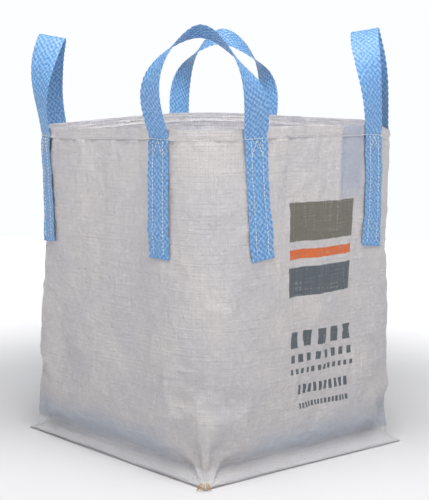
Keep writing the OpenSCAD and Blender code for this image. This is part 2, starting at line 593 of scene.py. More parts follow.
def painted_wall_shading(tree, tone, spot, outer, streak):
    """Painted light and shade on the walls: a shaded band above the seam, a lit fin and a shaded
    strip.
    """
    x, y, z = split(tree, spot)
    # Painted shade: a cool grey band towards the seam, where the wall tucks in under its swell,
    # but not at the front left corner.
    low = product(tree, ramp(tree, z, 0.17, 0.07), ramp(tree, z, 0.035, 0.055))
    corner = measure(tree, "DISTANCE", a=spot, b=(-FOOT_HALF, -FOOT_HALF, 0.08))
    low = product(tree, low, ramp(tree, corner, 0.06, 0.22))
    tone = stain(tree, tone, "#A9B9CD", low, 0.42)
    # Painted light: the fin is drawn pale, as if it were lit from above.
    tone = stain(tree, tone, "#E9E9EC", ramp(tree, z, 0.050, 0.034), 0.85)
    # Painted shade: a strip of the front wall beside the right leg, where the wall turns away
    # past a crease, is drawn cooler.
    painted_shade_strip = product(
        tree,
        ramp(tree, x, 0.100, 0.110),
        ramp(tree, x, 0.235, 0.190),
        ramp(tree, y, -0.2, -0.25),
        ramp(tree, z, 0.70, 0.80),
        maths(tree, "MULTIPLY_ADD", streak, 0.5, 0.35),
        outer,
    )
    return stain(tree, tone, "#9DA9C2", painted_shade_strip)


# Bands of the print on the front wall: left, right, low and high edges in metres.
PRINT_BANDS = [
    ("print_main", -0.110, 0.165, 0.640, 0.745),
    ("print_warm", -0.110, 0.165, 0.592, 0.618),
    ("print_cool", -0.110, 0.165, 0.490, 0.570),
]
PRINT_STRETCH = 1.04  # the wall is a little wider than the flat cloth's share of it
PRINT_EDGE = 1.5 * MM  # how soft the edges of the ink are
# Rows of plain blocks under them: left, right, low, high, pitch and inked share.
PRINT_ROWS = [
    (-0.092, 0.200, 0.348, 0.392, 0.0584, 0.55),
    (-0.088, 0.196, 0.306, 0.328, 0.0355, 0.52),
    (-0.088, 0.192, 0.274, 0.289, 0.0233, 0.50),
    (-0.052, 0.162, 0.216, 0.242, 0.0214, 0.58),
    (-0.052, 0.158, 0.176, 0.191, 0.0140, 0.62),
]


def inside(tree, x, z, left, right, low, high):
    """1 inside a rectangle of the front wall and 0 outside."""
    masks = []
    for coordinate, a, b in ((x, left, right), (z, low, high)):
        middle, half = (a + b) / 2, (b - a) / 2
        away = maths(tree, "ABSOLUTE", maths(tree, "SUBTRACT", coordinate, middle))
        masks.append(ramp(tree, away, half + PRINT_EDGE, half - PRINT_EDGE))
    return product(tree, *masks)


def front_print(tree, tone, u, v, outer, patch, tapes):
    """Flexographic ink on the front wall: three plain bands over rows of plain blocks.
    The ink is thin, so tapes and scuffs show through it as pale lines."""
    hues = colours()
    # Metres along the flat cloth from the front wall's middle, and up it.
    turns = maths(tree, "MULTIPLY_ADD", u, 1 / GIRTH, 0.5)
    x = maths(tree, "MULTIPLY_ADD", maths(tree, "FRACT", turns), GIRTH, -GIRTH / 2)
    wander = maths(tree, "MULTIPLY_ADD", patch, 0.006, -0.003)
    x = maths(tree, "ADD", product(tree, x, PRINT_STRETCH), wander)
    z = maths(tree, "ADD", v, wander)
    worn = maths(tree, "MULTIPLY_ADD", ramp(tree, tapes, 1.36, 1.08), 0.30, 0.66)
    worn = product(tree, worn, outer)
    for hue, *edges in PRINT_BANDS:
        mask = product(tree, inside(tree, x, z, *edges), worn)
        tone = blend_colour(tree, mask, tone, rgba(getattr(hues, hue)))
    blocks = 0.0
    for left, right, low, high, pitch, share in PRINT_ROWS:
        row = inside(tree, x, z, left, right, low, high)
        step = maths(tree, "DIVIDE", maths(tree, "SUBTRACT", x, left), pitch)
        inked = maths(tree, "LESS_THAN", maths(tree, "FRACT", step), share)
        blocks = maths(tree, "MAXIMUM", blocks, product(tree, row, inked))
    return blend_colour(tree, product(tree, blocks, worn), tone, rgba(hues.print_cool))


def polypropylene_webbing():
    """Heavy multifilament polypropylene webbing, woven from thick cords: light blue
    beads with a painted sheen, and painted shade in a deeper blue where one cord dives under
    another."""
    material, tree, shader = start_material("polypropylene_webbing")
    hues = colours()
    bead = add(tree, "ShaderNodeAttribute", attribute_name="bead").outputs["Fac"]
    uv = coordinates(tree, "UV")
    mottle = noise_at(tree, coordinates(tree, "Object"), 14.0, 3.0)
    # Painted shade: the valleys between beads take the darker blue and the bead tops the
    # lighter.
    tone = blend_colour(
        tree, ramp(tree, bead, 0.10, 0.85), rgba(hues.webbing_valley_shade), rgba(hues.webbing)
    )
    # Painted highlight: the tops of the beads are drawn paler, for a sheen.
    tone = stain(tree, tone, "#A9CBE8", ramp(tree, bead, 0.85, 1.0), 0.35)
    tone = stain(tree, tone, "#5E96CE", ramp(tree, mottle, 0.42, 0.7), 0.25)
    # Broken filaments catch the light as pale flecks; handled cords have gone dark.
    fleck = grain(tree, uv, 230.0, 150.0, 0.6)
    tone = stain(tree, tone, "#B9D8F2", ramp(tree, fleck, 0.54, 0.70), 0.50)
    tone = stain(tree, tone, "#3F74AE", ramp(tree, fleck, 0.46, 0.30), 0.55)
    fibre = grain(tree, uv, 1900.0, 260.0)
    surface = {
        "Base Color": tone,
        "Normal": bumped(tree, fibre, 0.0006, 0.5),
        "Roughness": maths(tree, "MULTIPLY_ADD", fibre, 0.2, 0.38),
        "IOR": PLASTIC_IOR,
    }
    fill(tree, shader, surface)
    return material


def polyester_thread(name="polyester_thread", hue=None):
    """Spun polyester thread: off-white, matt, with a close twist along its length."""
    material, tree, shader = start_material(name)
    spot = coordinates(tree, "Object")
    tone = stain(
        tree,
        rgba(hue or colours().thread),
        "#B9AE9A",
        ramp(tree, noise_at(tree, spot, 40.0, 2.0), 0.4, 0.7),
        0.35,
    )
    twist = bumped(tree, noise_at(tree, spot, 1600.0, 1.0), 0.0003, 0.4)
    fill(tree, shader, {"Base Color": tone, "Normal": twist, "Roughness": 0.7})
    return material


def undyed_thread():
    """Undyed thread ends: the same yarn in a warm straw colour."""
    return polyester_thread("undyed_thread", hex_rgb("#CBA06A"))


def matt_paint():
    """Matt white studio paint on a lit floor: even, with no sheen, and glowing
    further out so that it melts into the white room."""
    material, tree, shader = start_material("matt_studio_paint")
    spot = coordinates(tree, "Object")
    white = rgba(hex_rgb("#F4F4F5"))
    tone = stain(tree, white, "#E9E9EB", noise_at(tree, spot, 0.6), 0.05)
    away = measure(tree, "LENGTH", a=spot)
    glow = product(tree, ramp(tree, away, 0.95, 2.1), 0.50)
    glow = maths(tree, "MULTIPLY_ADD", ramp(tree, away, 2.2, 3.4), 0.5, glow)
    surface = {
        "Base Color": tone,
        "Emission Strength": glow,
        "Emission Color": (1, 1, 1, 1),
        "Roughness": 0.9,
        "Specular IOR Level": 0.1,
    }
    fill(tree, shader, surface)
    return material


def material_of(name, make):
    return bpy.data.materials.get(name) or make()


# ---- Fabric --------------------------------------------------------------------------

AROUND = 384  # columns of the walls' mesh, about 8 mm apart


def wall_rows():
    """Rows of the tube from the fin's edge to the cut edge inside the hem.

    Each is (kind, value): heights up the fin and the wall, then steps over the fold
    and down the inside.
    """
    rows = [("fin", k / 6) for k in range(6)]
    z = FIN_ROOT_Z
    hem_foot = RIM_Z - sizes().hem_depth - 0.012
    while z < RIM_Z - 0.004:
        rows.append(("wall", z))
        z += 0.0055 if z < 0.075 else 0.0096 if z < hem_foot else 0.0036
    rows += [("fold", k / 4) for k in range(5)]
    rows += [("inside", sizes().hem_depth * k / 5) for k in range(1, 6)]
    return rows


def corner_share(t):
    """1 at a corner of the foot and 0 a hand's width along the wall."""
    return max(near(t, 0.125 + 0.25 * k, 0.020) for k in range(4))


def fabric_point(t, kind, value, sag=None):
    """A point of the tube's cloth: its place, and its height up the flat cloth."""
    hem = sizes().hem_depth
    z = {"fin": FIN_ROOT_Z, "wall": value, "fold": RIM_Z, "inside": RIM_Z}[kind]
    x, y, nx, ny = plan(t, z)
    seam_z = RIM_Z - hem
    out = dent(x, y, z, t)
    out -= mix(0.012, -0.008, corner_share(t)) * (1 - smooth(FIN_ROOT_Z, 0.11, z))
    # The hem's stitching draws the cloth in, and the folded hem puffs out above it.
    pucker = ripple(t * 150, 3.0) * 1.3 + ripple(t * 52, 8.0) * 2.0
    out -= (3.0 + 0.8 * pucker) * MM * hump(z, seam_z, 0.010)
    out += (1.6 + pucker) * MM * smooth(seam_z - 0.004, seam_z + 0.012, z)
    rise = (z / RIM_Z) ** 2 * rim_rise(t)
    rise += 1.4 * MM * ripple(t * 38, 1.0) * smooth(0.8, 0.95, z)
    # The seam runs down to the floor at each corner.
    drop = (FIN_ROOT_Z - 0.014) * corner_share(t)
    rise -= drop * (1 - smooth(FIN_ROOT_Z, 0.12, z))
    flat = z
    if kind == "fold":
        angle = value * math.pi
        out += -1.6 * MM + 1.6 * MM * math.cos(angle)
        rise += 1.6 * MM * math.sin(angle) - 3.0 * MM
        flat = RIM_Z + value * 5 * MM
    elif kind == "inside":
        out += -2.6 * MM + 0.4 * MM * ripple(t * 60, value * 40)
        rise += -value - 3.0 * MM
        flat = RIM_Z + 5 * MM + value
    dx, dy = lean(x, y, z, t)
    top = Vector((x + nx * out + dx, y + ny * out + dy, z + rise))
    if sag and kind != "fin":
        top += sag(t, min(z, RIM_Z))
    if kind != "fin":
        return top, flat
    # From the edge on the floor, k = 0, up to the root, k = 1.
    k = value
    wave = ripple(t * 16, 2.0) * 3.0 + ripple(t * 55, 6.0) * 1.6
    edge_x, edge_y = fin_edge(t, wave * MM)
    dx, dy = lean(edge_x, edge_y, 0.0, t)
    bow = math.sin(k * math.pi) * (3.0 + ripple(t * 24, 7.0) * 3.0) * MM
    bow *= 1 - corner_share(t)
    height = mix(FLOOR_PLY + 1.6 * MM, top.z, k**0.92)
    height += (1 - k) * max(0.0, ripple(t * 13, 4.0) - 0.1) * 9 * MM * (1 - corner_share(t))
    px = mix(edge_x + dx, top.x, k) + nx * bow
    py = mix(edge_y + dy, top.y, k) + ny * bow
    return Vector((px, py, height)), FIN_ROOT_Z - (1 - k) * 0.047


def fin_edge(t, out):
    """The cut edge of the fin: square in plan, with its corners drawn out to ears."""
    quarter = int(math.floor(t * 4 + 0.5))
    along = (t * 4 - quarter) * 2
    ear = smooth(0.90, 1.0, abs(along))
    x = along * (FIN_HALF + 0.002 * ear)
    wide = 0.015 * smooth(-1, 1, along) if quarter % 4 == 0 else 0.0
    y = -(FIN_HALF - 0.004 + wide + out * (1 - ear) + 0.002 * ear)
    return turned(x, y, quarter)


SETTLE_COLUMNS, SETTLE_ROWS = 160, 48
SETTLE_FRAMES = 22
SAG_LIMIT = 16 * MM


def settled():
    """Lets the walls' cloth settle under its own weight, and gives how far each point went.

    A coarse copy of the tube, a little longer than the space it stands in, is held at
    its seam and at its hem, and slumps between them.
    """
    around, count = SETTLE_COLUMNS, SETTLE_ROWS
    heights = [mix(FIN_ROOT_Z, RIM_Z - 0.002, r / (count - 1)) for r in range(count)]
    bm, place = tube_grid(around, count)
    for vert, (column, row) in zip(bm.verts, place):
        vert.co = fabric_point(column % around / around, "wall", heights[row])[0]
    before = [v.co.copy() for v in bm.verts]
    kept = [i for i, (column, _) in enumerate(place) if column < around]
    weld_seam(bm, place, around)
    mesh = bpy.data.meshes.new("settling_cloth")
    bm.to_mesh(mesh)
    bm.free()
    cloth = placed("settling_cloth", mesh)
    hold = cloth.vertex_groups.new(name="hold")
    for new, old in enumerate(kept):
        z = heights[place[old][1]]
        held = max(1 - smooth(0.045, 0.075, z), smooth(0.90, 0.925, z))
        hold.add([new], held, "REPLACE")
    modifier = cloth.modifiers.new("Cloth", "CLOTH")

    how = modifier.settings
    how.quality = 6
    how.mass = 0.05
    how.tension_stiffness = how.compression_stiffness = 18
    how.shear_stiffness = 6
    how.bending_stiffness = 1.2
    how.tension_damping = how.compression_damping = 12
    how.bending_damping = 1
    how.air_damping = 3
    how.shrink_min = -0.012
    how.vertex_group_mass = "hold"
    modifier.collision_settings.use_collision = False
    modifier.collision_settings.use_self_collision = False
    modifier.point_cache.frame_start = 1
    modifier.point_cache.frame_end = SETTLE_FRAMES + 2
    scene = bpy.context.scene
    for number in range(1, SETTLE_FRAMES + 1):
        scene.frame_set(number)
    shape = cloth.evaluated_get(bpy.context.evaluated_depsgraph_get()).data
    grid = {}
    for new, old in enumerate(kept):
        move = shape.vertices[new].co - before[old]
        if move.length > SAG_LIMIT:
            move *= SAG_LIMIT / move.length
        grid[place[old]] = move
    scene.frame_set(1)
    bpy.data.objects.remove(cloth)
    bpy.data.meshes.remove(mesh)

    def sag(t, z):
        column = (t % 1.0) * around
        row = (z - heights[0]) / (heights[-1] - heights[0]) * (count - 1)
        row = min(max(row, 0), count - 1.001)
        c0, r0 = int(column), int(row)
        kc, kr = smooth(0, 1, column - c0), smooth(0, 1, row - r0)
        c0 %= around
        c1 = (c0 + 1) % around
        under, over = (grid[c0, r].lerp(grid[c1, r], kc) for r in (r0, r0 + 1))
        return under.lerp(over, kr)

    return sag


def build_tube():
    rows = wall_rows()
    sag = settled()
    bm, place = tube_grid(AROUND, len(rows))
    spots, flats = {}, {}
    for row, (kind, value) in enumerate(rows):
        for column in range(AROUND):
            spots[column, row], flats[row] = fabric_point(column / AROUND, kind, value, sag)
    for vert, (column, row) in zip(bm.verts, place):
        vert.co = spots[column % AROUND, row]
    keep_uv(bm, place, lambda c: c * GIRTH / AROUND, lambda r: flats[r])
    weld_seam(bm, place, AROUND)
    face_outwards(bm)
    middle = bm.faces[:][len(bm.faces) // 2]
    if middle.normal.dot(Vector((*middle.calc_center_median().xy, 0))) < 0:
        bmesh.ops.reverse_faces(bm, faces=bm.faces)
    bm.normal_update()
    # Keep the outer face for the pieces that lie on it.
    kept = [key for key in place if key[0] < AROUND]
    normals = {key: vert.normal.copy() for vert, key in zip(bm.verts, kept)}
    wall = range(1 + max(r for r, (kind, _) in enumerate(rows) if kind == "wall"))
    Skin.around = AROUND
    Skin.heights = [flats[r] for r in wall]
    Skin.points = [[spots[c, r] for c in range(AROUND)] for r in wall]
    Skin.outs = [[normals[c, r] for c in range(AROUND)] for r in wall]
    return bm


def thicken(piece, thickness, offset=-1.0):
    solid = piece.modifiers.new("Fabric thickness", "SOLIDIFY")
    solid.thickness = thickness
    solid.offset = offset
    solid.use_even_offset = False


class BAG_OT_body(bpy.types.Operator):
    """Tube of woven fabric with its hem and flared foot, and the base panel under it"""

    bl_idname = "bag.body"
    bl_label = "Body and base"

    def execute(self, context):
        cloth = material_of(
            "woven_polypropylene_printed",
            lambda: woven_polypropylene("woven_polypropylene_printed", True),
        )
        plain = material_of("woven_polypropylene", woven_polypropylene)
        tube = new_piece("woven_body", build_tube(), cloth)
        thicken(tube, sizes().ply)
        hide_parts("body_tube", "base_fin")
        base = new_piece("base_cloth", build_base(), plain)
        thicken(base, sizes().ply, 1.0)
        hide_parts("base_panel")
        return {"FINISHED"}


BASE_CELLS = 60


def build_base():
    """The base panel: flat on the floor, with faint swells inside its seams."""
    bm = bmesh.new()
    cells = BASE_CELLS
    bmesh.ops.create_grid(bm, x_segments=cells, y_segments=cells, size=FIN_HALF - 0.001)
    layer = bm.loops.layers.uv.new("UVMap")
    for face in bm.faces:
        for loop in face.loops:
            loop[layer].uv = (loop.vert.co.x, loop.vert.co.y)
    for vert in bm.verts:
        x, y = vert.co.x, vert.co.y
        away = FIN_HALF - max(abs(x), abs(y))
        swell = max(0.0, ripple(x * 7, y * 7, 2.0)) * 4.0 + abs(ripple(x * 18, y * 18)) * 1.2
        dx, dy = lean(x, y, 0.0, 0.5)
        vert.co = (x + dx, y + dy, swell * MM * smooth(0.03, 0.12, away))
    face_outwards(bm)
    if sum(f.normal.z for f in bm.faces) < 0:
        bmesh.ops.reverse_faces(bm, faces=bm.faces)
    return bm

# ---- Webbing -------------------------------------------------------------------------

# Each loop goes from its first leg to its second, over the corner between their walls.
# slide: how much nearer the corner each leg is sewn than the middle of its node.
# shift: how far the crown is off the loop's middle, towards the second leg.
# bow: how far each side bulges along the wall-to-wall line; belly: outward, lower down.
# out: how far the crown leans outward; rise: its height above the sewing.
# point: 2 for a round crown, and less for a pointed one.
# tilt: how far the crown's outer edge is raised, in degrees.
# twist: how soon each side turns its face, from 1 upward.
LOOPS = {
    "front_left": {
        "legs": (("left", 1), ("front", -1)),
        "slide": (-0.017, 0.020), "shift": -0.015, "bow": (0.034, 0.014),
        "belly": 0.078, "out": 0.020, "rise": 0.262,
        "point": 1.35, "tilt": 26, "twist": (0.9, 2.3),
    },
    "front_right": {
        "legs": (("front", 1), ("right", -1)),
        "slide": (-0.006, 0.060), "shift": 0.005, "bow": (0.037, -0.020),
        "belly": 0.002, "out": -0.045, "rise": 0.284,
        "point": 1.5, "tilt": 10, "twist": (2.7, 2.3),
    },
    "back_right": {
        "legs": (("right", 1), ("back", -1)),
        "slide": (-0.030, -0.005), "shift": 0.010, "bow": (0.015, 0.015),
        "belly": 0.074, "out": 0.054, "rise": 0.257,
        "point": 1.45, "tilt": 40, "twist": (1.8, 1.3),
    },
    "back_left": {
        "legs": (("back", 1), ("left", -1)),
        "slide": (0.040, 0.055), "shift": 0.000, "bow": (-0.006, -0.015),
        "belly": 0.026, "out": -0.006, "rise": 0.270,
        "point": 1.7, "tilt": 9, "twist": (3.6, 2.9),
    },
}

BEAD_WIDTH = 8.0 * MM  # ten cords across the webbing
BEAD_LENGTH = 9.0 * MM
BEAD_RISE = 0.8 * MM

LEGS = [(wall, side) for wall in WALLS for side in (-1, 1)]
SLIDES = {
    end: slide
    for facts in LOOPS.values()
    for end, slide in zip(facts["legs"], facts["slide"])
}
# How far a leg drifts towards its corner, for each metre down.
LEANS = {("front", -1): -0.09, ("front", 1): 0.07, ("left", 1): 0.02}
LEG_STEPS = 30
LEG_TOP_Z = RIM_Z - 0.003
ARCH_STEPS = 72


def leg_off(wall, side, z):
    """How far along its wall a leg is sewn at height z, from the middle of its node."""
    end = wall, side
    return side * (SLIDES[end] + LEANS.get(end, 0.0) * (RIM_Z - z))


def sewn_leg(wall, side):
    """Points up a sewn leg to the rim, each with the way its width runs."""
    leg = []
    lift = sizes().web_thickness / 2 + 1.2 * MM
    for k in shares(LEG_STEPS):
        z = mix(LEG_FOOT_Z, LEG_TOP_Z, k)
        off = leg_off(wall, side, z)
        spot, out = Skin.at(leg_t(wall, side, off, z), z, lift)
        # It lies on whatever stands out the most across its width.
        across = [
            Skin.at(leg_t(wall, side, off + side * hand * 0.036, z), z, lift)[0]
            for hand in (-1, -0.5, 0.5, 1)
        ]
        proud = sum(0.35 * max(0.0, (point - spot).dot(out)) for point in across)
        leg.append((spot + out * proud, (across[-1] - across[0]).normalized()))
    return leg


def strap_path(name):
    """The middle line of a loop's webbing, and the way its width runs at each point."""
    facts = LOOPS[name]
    level, up = Vector((1, 1, 0)), Vector((0, 0, 1))
    first, second = [sewn_leg(*end) for end in facts["legs"]]
    (a_spot, a_way), (b_spot, b_way) = first[-1], second[-1]
    middle = (a_spot + b_spot) / 2 * level
    along = (b_spot - a_spot) * level
    half = along.length / 2
    u = along.normalized()
    w = middle.normalized()
    tilt = math.radians(facts["tilt"])
    crown_way = w * math.cos(tilt) + up * math.sin(tilt)
    arch = []
    for k in shares(ARCH_STEPS)[1:-1]:
        s, c = math.sin(math.pi * k), math.cos(math.pi * k)
        hand = 0 if c > 0 else 1
        bow = facts["bow"][hand] * math.sin(2 * math.pi * k)
        across = -half * c + facts["shift"] * s * s - bow
        outward = facts["out"] * s * s + facts["belly"] * 2 * s * c * c
        height = facts["rise"] * math.sqrt(1 - abs(c) ** facts["point"])
        height += mix(a_spot.z, b_spot.z, k)
        share = abs(c) ** facts["twist"][hand]
        way = crown_way.lerp((a_way, b_way)[hand], share)
        arch.append((middle + u * across + w * outward + up * height, way))
    line = first + arch + second[::-1]
    spots = [spot for spot, _ in line]
    ways = [way for _, way in line]
    # Webbing is stiff, so its line has no kinks: ease it where it leaves the walls.
    low, high = len(first) - 1, len(spots) - len(second) + 1
    for _ in range(14):
        spots[low:high] = [
            (spots[i - 1] + spots[i] * 2 + spots[i + 1]) / 4 for i in range(low, high)
        ]
    for _ in range(10):
        ways[1:-1] = [
            (ways[i - 1] + ways[i] * 2 + ways[i + 1]).normalized()
            for i in range(1, len(ways) - 1)
        ]
    return spots, ways


def lengths_along(spots):
    """How far each point of a path is from its start."""
    lengths = [0.0]
    for a, b in zip(spots, spots[1:]):
        lengths.append(lengths[-1] + (b - a).length)
    return lengths


def resample(spots, widths, gap):
    """Even steps along a path, on a smooth curve through its points."""
    lengths = lengths_along(spots)
    total = lengths[-1]
    count = max(2, round(total / gap))
    result = []
    j = 0

    for i in range(count + 1):
        s = total * i / count
        while j < len(lengths) - 2 and lengths[j + 1] < s:
            j += 1
        k = (s - lengths[j]) / (lengths[j + 1] - lengths[j])
        p0 = spots[max(0, j - 1)]
        p1, p2 = spots[j], spots[j + 1]
        p3 = spots[min(len(spots) - 1, j + 2)]
        point = 0.5 * (
            2 * p1
            + (p2 - p0) * k
            + (2 * p0 - 5 * p1 + 4 * p2 - p3) * k * k
            + (3 * p1 - p0 - 3 * p2 + p3) * k * k * k
        )
        result.append((point, widths[j].lerp(widths[j + 1], k).normalized(), s))
    return result, total


FACE_CELLS = 48  # mesh columns over the webbing's width
BACK_FACE_U = 0.2  # where the UV map of the webbing's back face lies, in metres


def web_section():
    """Points round the webbing's section: (across from -1 to 1, face +1, -1 or 0)."""
    points = [(-1 + 2 * i / FACE_CELLS, 1) for i in range(FACE_CELLS + 1)]
    points += [(1.006, 0)]
    points += [(1 - 2 * i / FACE_CELLS, -1) for i in range(FACE_CELLS + 1)]
    points += [(-1.006, 0)]
    return points


def bead_height(across, along, face):
    """0 in the valleys between cords and 1 on a bead.

    The weave is a broken twill: beads lie in slanting rows, and one slant is bolder.
    """
    a = math.pi * across / BEAD_WIDTH
    b = math.pi * along / BEAD_LENGTH
    s = 0.55 * math.cos(a - b * face) - 0.45 * math.cos(a + b * face)
    # No two cords are drawn up alike: each bead sits a little high or low of its place.
    s += 1.1 * ripple(across * 150, along * 120, face)
    s += 0.5 * ripple(across * 330, along * 260, face)
    bold = 1 + 0.5 * ripple(across * 60, along * 45, 4.0 + face)
    return smooth(-0.75, 0.80, s * bold)


SEALED_END = 3.5 * MM
SEALED_BEAD = -0.6  # below any valley, so that it takes the darkest colour


def build_webbing(name):
    spots, widths = strap_path(name)
    steps, total = resample(spots, widths, BEAD_LENGTH / 5)
    section = web_section()
    around = len(section)
    bm, place = tube_grid(around, len(steps))
    bead_layer = bm.verts.layers.float.new("bead")
    half_w = sizes().web_width / 2
    half_t = sizes().web_thickness / 2
    spot_of, bead_of = {}, {}
    for row, (point, width, s) in enumerate(steps):
        ahead = steps[min(row + 1, len(steps) - 1)][0]
        behind = steps[max(row - 1, 0)][0]
        tangent = (ahead - behind).normalized()
        width = (width - tangent * width.dot(tangent)).normalized()
        face_out = tangent.cross(width).normalized()
        to_end = min(s, total - s)
        end = min(1.0, to_end / (2.5 * MM))
        scallop = 0.9 * MM * math.sin(math.pi * s / BEAD_LENGTH)
        for column, (across, face) in enumerate(section):
            a = across * half_w
            bead = bead_height(a + half_w, s, face) if face else 0.2
            edge = 1 - smooth(0.93, 1.0, abs(across)) * 0.75
            rise = (half_t * 0.55 + BEAD_RISE * bead) * edge * (0.4 + 0.6 * end)
            wave = math.copysign(1, across) * scallop * smooth(0.9, 1.0, abs(across))
            spot_of[column, row] = point + width * (a + wave) + face_out * face * rise
            # The cut ends are sealed with heat: flat, hard and dark.
            bead_of[column, row] = bead if to_end > SEALED_END else SEALED_BEAD
    for vert, (column, row) in zip(bm.verts, place):
        key = column % around, row
        vert.co = spot_of[key]
        vert[bead_layer] = bead_of[key]

    def u_of(column):
        across, face = section[column % around]
        return across * half_w + (BACK_FACE_U if face < 0 else 0)

    keep_uv(bm, place, u_of, lambda row: steps[row][2])
    weld_seam(bm, place, around)
    face_outwards(bm)
    ends = [e for e in bm.edges if e.is_boundary]
    bmesh.ops.holes_fill(bm, edges=ends, sides=0)
    face_outwards(bm)
    return bm, total


class BAG_OT_webbing(bpy.types.Operator):
    """Four lift loops, each one strap of webbing sewn down two walls and arched over a corner"""

    bl_idname = "bag.webbing"
    bl_label = "Lift loops"

    def execute(self, context):
        webbing = material_of("polypropylene_webbing", polypropylene_webbing)
        for name, facts in LOOPS.items():
            bm, total = build_webbing(name)
            strap = new_piece(f"strap_{name}", bm, webbing, body=None)
            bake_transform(strap)
            nodes = [f"loop_{name}"]
            for end in facts["legs"]:
                nodes += [f"leg_{leg_name(*end)}", f"bend_{leg_name(*end)}"]
            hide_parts(*nodes)
        return {"FINISHED"}


def leg_name(wall, side):
    """The frame's name for the leg at one end of a wall."""
    ends = {
        "front": ("left", "right"),
        "right": ("front", "back"),
        "back": ("right", "left"),
        "left": ("back", "front"),
    }
    return f"{wall}_wall_{ends[wall][0 if side < 0 else 1]}"


# ---- Sewing --------------------------------------------------------------------------

HEM_STEPS, HEM_LAP_STEPS = 1500, 30
SEAM_STEPS = 1600
LEG_ROW_STEPS, TACK_STEPS = 60, 12
LEG_ROWS = (-0.020, 0.020)  # the two rows down a leg, from its middle
TACK_HALF, TACK_DEPTH = 0.021, 0.040
ON_CLOTH, ON_WEBBING, OVER_LEG = 0.9 * MM, 1.1 * MM, 4.6 * MM  # how high stitches lie
TUFT_ENDS, TUFT_WIDTH = 16, 1.8 * MM


def stitch_seed():
    """One stitch: a short, low, round-ended float of thread, 48 triangles."""
    bm = bmesh.new()
    bmesh.ops.create_uvsphere(bm, u_segments=6, v_segments=5, radius=1)
    turn = Matrix.Rotation(math.pi / 2, 3, "Y")
    bmesh.ops.rotate(bm, verts=bm.verts, cent=(0, 0, 0), matrix=turn)
    return bm


def sew(bm, seed, here, there, out, width):
    """Adds a stitch from here to there, lying on a surface that faces `out`."""
    along = there - here
    x = along.normalized()
    y = out.cross(x).normalized()
    z = x.cross(y)
    middle = (here + there) / 2
    copies = {}
    for vert in seed.verts:
        k = vert.co.x
        bulge = 1 - 0.25 * k * k
        local = x * (k * along.length * 0.5) + y * (vert.co.y * width * 0.5 * bulge)
        local += z * (vert.co.z * width * 0.42 * bulge - abs(k) ** 3 * width * 0.35)
        copies[vert] = bm.verts.new(middle + local)
    for face in seed.faces:
        bm.faces.new([copies[v] for v in face.verts])


def sewn_row(bm, seed, path, width, gap_share=0.2, wander=0.0, phase=0.0):
    """Stitches along a list of (point, outward direction)."""
    lengths = lengths_along([spot for spot, _ in path])
    count = max(1, int(lengths[-1] / sizes().stitch_length))

    def at(share):
        s = lengths[-1] * share / count
        j = place_in(lengths, s)
        k = (s - lengths[j]) / max(1e-9, lengths[j + 1] - lengths[j])
        k = min(1.0, max(0.0, k))
        (here, way), (there, next_way) = path[j], path[j + 1]
        return here.lerp(there, k), way.lerp(next_way, k).normalized()

    for i in range(count):
        a, a_out = at(i + gap_share / 2)
        b, b_out = at(i + 1 - gap_share / 2)
        side = a_out.cross(b - a).normalized()
        sway = ripple(i * 0.73 + phase, phase * 3.1) * wander
        swing = ripple(i * 1.9 + phase, 7.7) * wander * 0.8
        a += side * (sway + swing)
        b += side * (sway - swing)
        sew(bm, seed, a, b, (a_out + b_out).normalized(), width)


def sewing_piece(name, bm, node):
    face_outwards(bm)
    thread = material_of("polyester_thread", polyester_thread)
    piece = new_piece(name, bm, thread)
    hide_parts(node)
    return piece


def hem_row_z():
    return RIM_Z - sizes().hem_depth


def over_leg(t, z):
    """Whether a point of the wall lies under a leg's webbing."""
    half = sizes().web_width / 2
    for wall, side in LEGS:
        middle = leg_off(wall, side, z)
        ends = [leg_t(wall, side, middle + off, z) for off in (-half, half)]
        if any(min(ends) <= t + turn <= max(ends) for turn in (-1, 0, 1)):
            return True
    return False


def sew_hem(seed):
    """A row round the hem, sewn over its own start a little lower where it ends."""
    bm = bmesh.new()
    over = sizes().web_thickness / 2 + OVER_LEG
    path = []
    for k in shares(HEM_STEPS):
        t = k - 0.045
        z = hem_row_z() + 2.2 * MM * ripple(t * 18, 2.0) + 1.0 * MM * ripple(t * 70, 2.0)
        path.append(Skin.at(t, z, over if over_leg(t, z) else ON_CLOTH))
    sewn_row(bm, seed, path, sizes().thread_width, wander=0.0008, phase=3.0)
    path = [
        Skin.at((-0.198 + 0.085 * k) / GIRTH, hem_row_z() - 0.012 + 0.004 * k, ON_CLOTH)
        for k in shares(HEM_LAP_STEPS)
    ]
    sewn_row(bm, seed, path, sizes().thread_width, wander=0.0012, phase=5.0)
    return bm


def leg_lines():
    """Each sewn leg's middle line from its foot up, and the ways its width runs."""
    lines = {}
    for name, facts in LOOPS.items():
        spots, ways = strap_path(name)
        for end, turn in zip(facts["legs"], (1, -1)):
            lines[end] = spots[::turn][: LEG_STEPS + 1], ways[::turn][: LEG_STEPS + 1]
    return lines


def on_strap(end, line, off, z):
    """A point on the face of a sewn leg, `off` from its middle, and its outward way."""
    spots, ways = line
    wall, side = end
    k = min(max((z - LEG_FOOT_Z) / (LEG_TOP_Z - LEG_FOOT_Z), 0.0), 1.0) * LEG_STEPS
    j = min(int(k), LEG_STEPS - 1)
    spot = spots[j].lerp(spots[j + 1], k - j)
    way = ways[j].lerp(ways[j + 1], k - j).normalized()
    out = way.cross(spots[j + 1] - spots[j]).normalized()
    if out.dot(Vector((spot.x, spot.y, 0))) < 0:
        out = -out
    here, there = (Skin.at(leg_t(wall, side, reach, z), z)[0] for reach in (0, side * 0.03))
    if way.dot(there - here) < 0:
        way = -way
    return spot + way * off + out * (sizes().web_thickness / 2 + ON_WEBBING), out


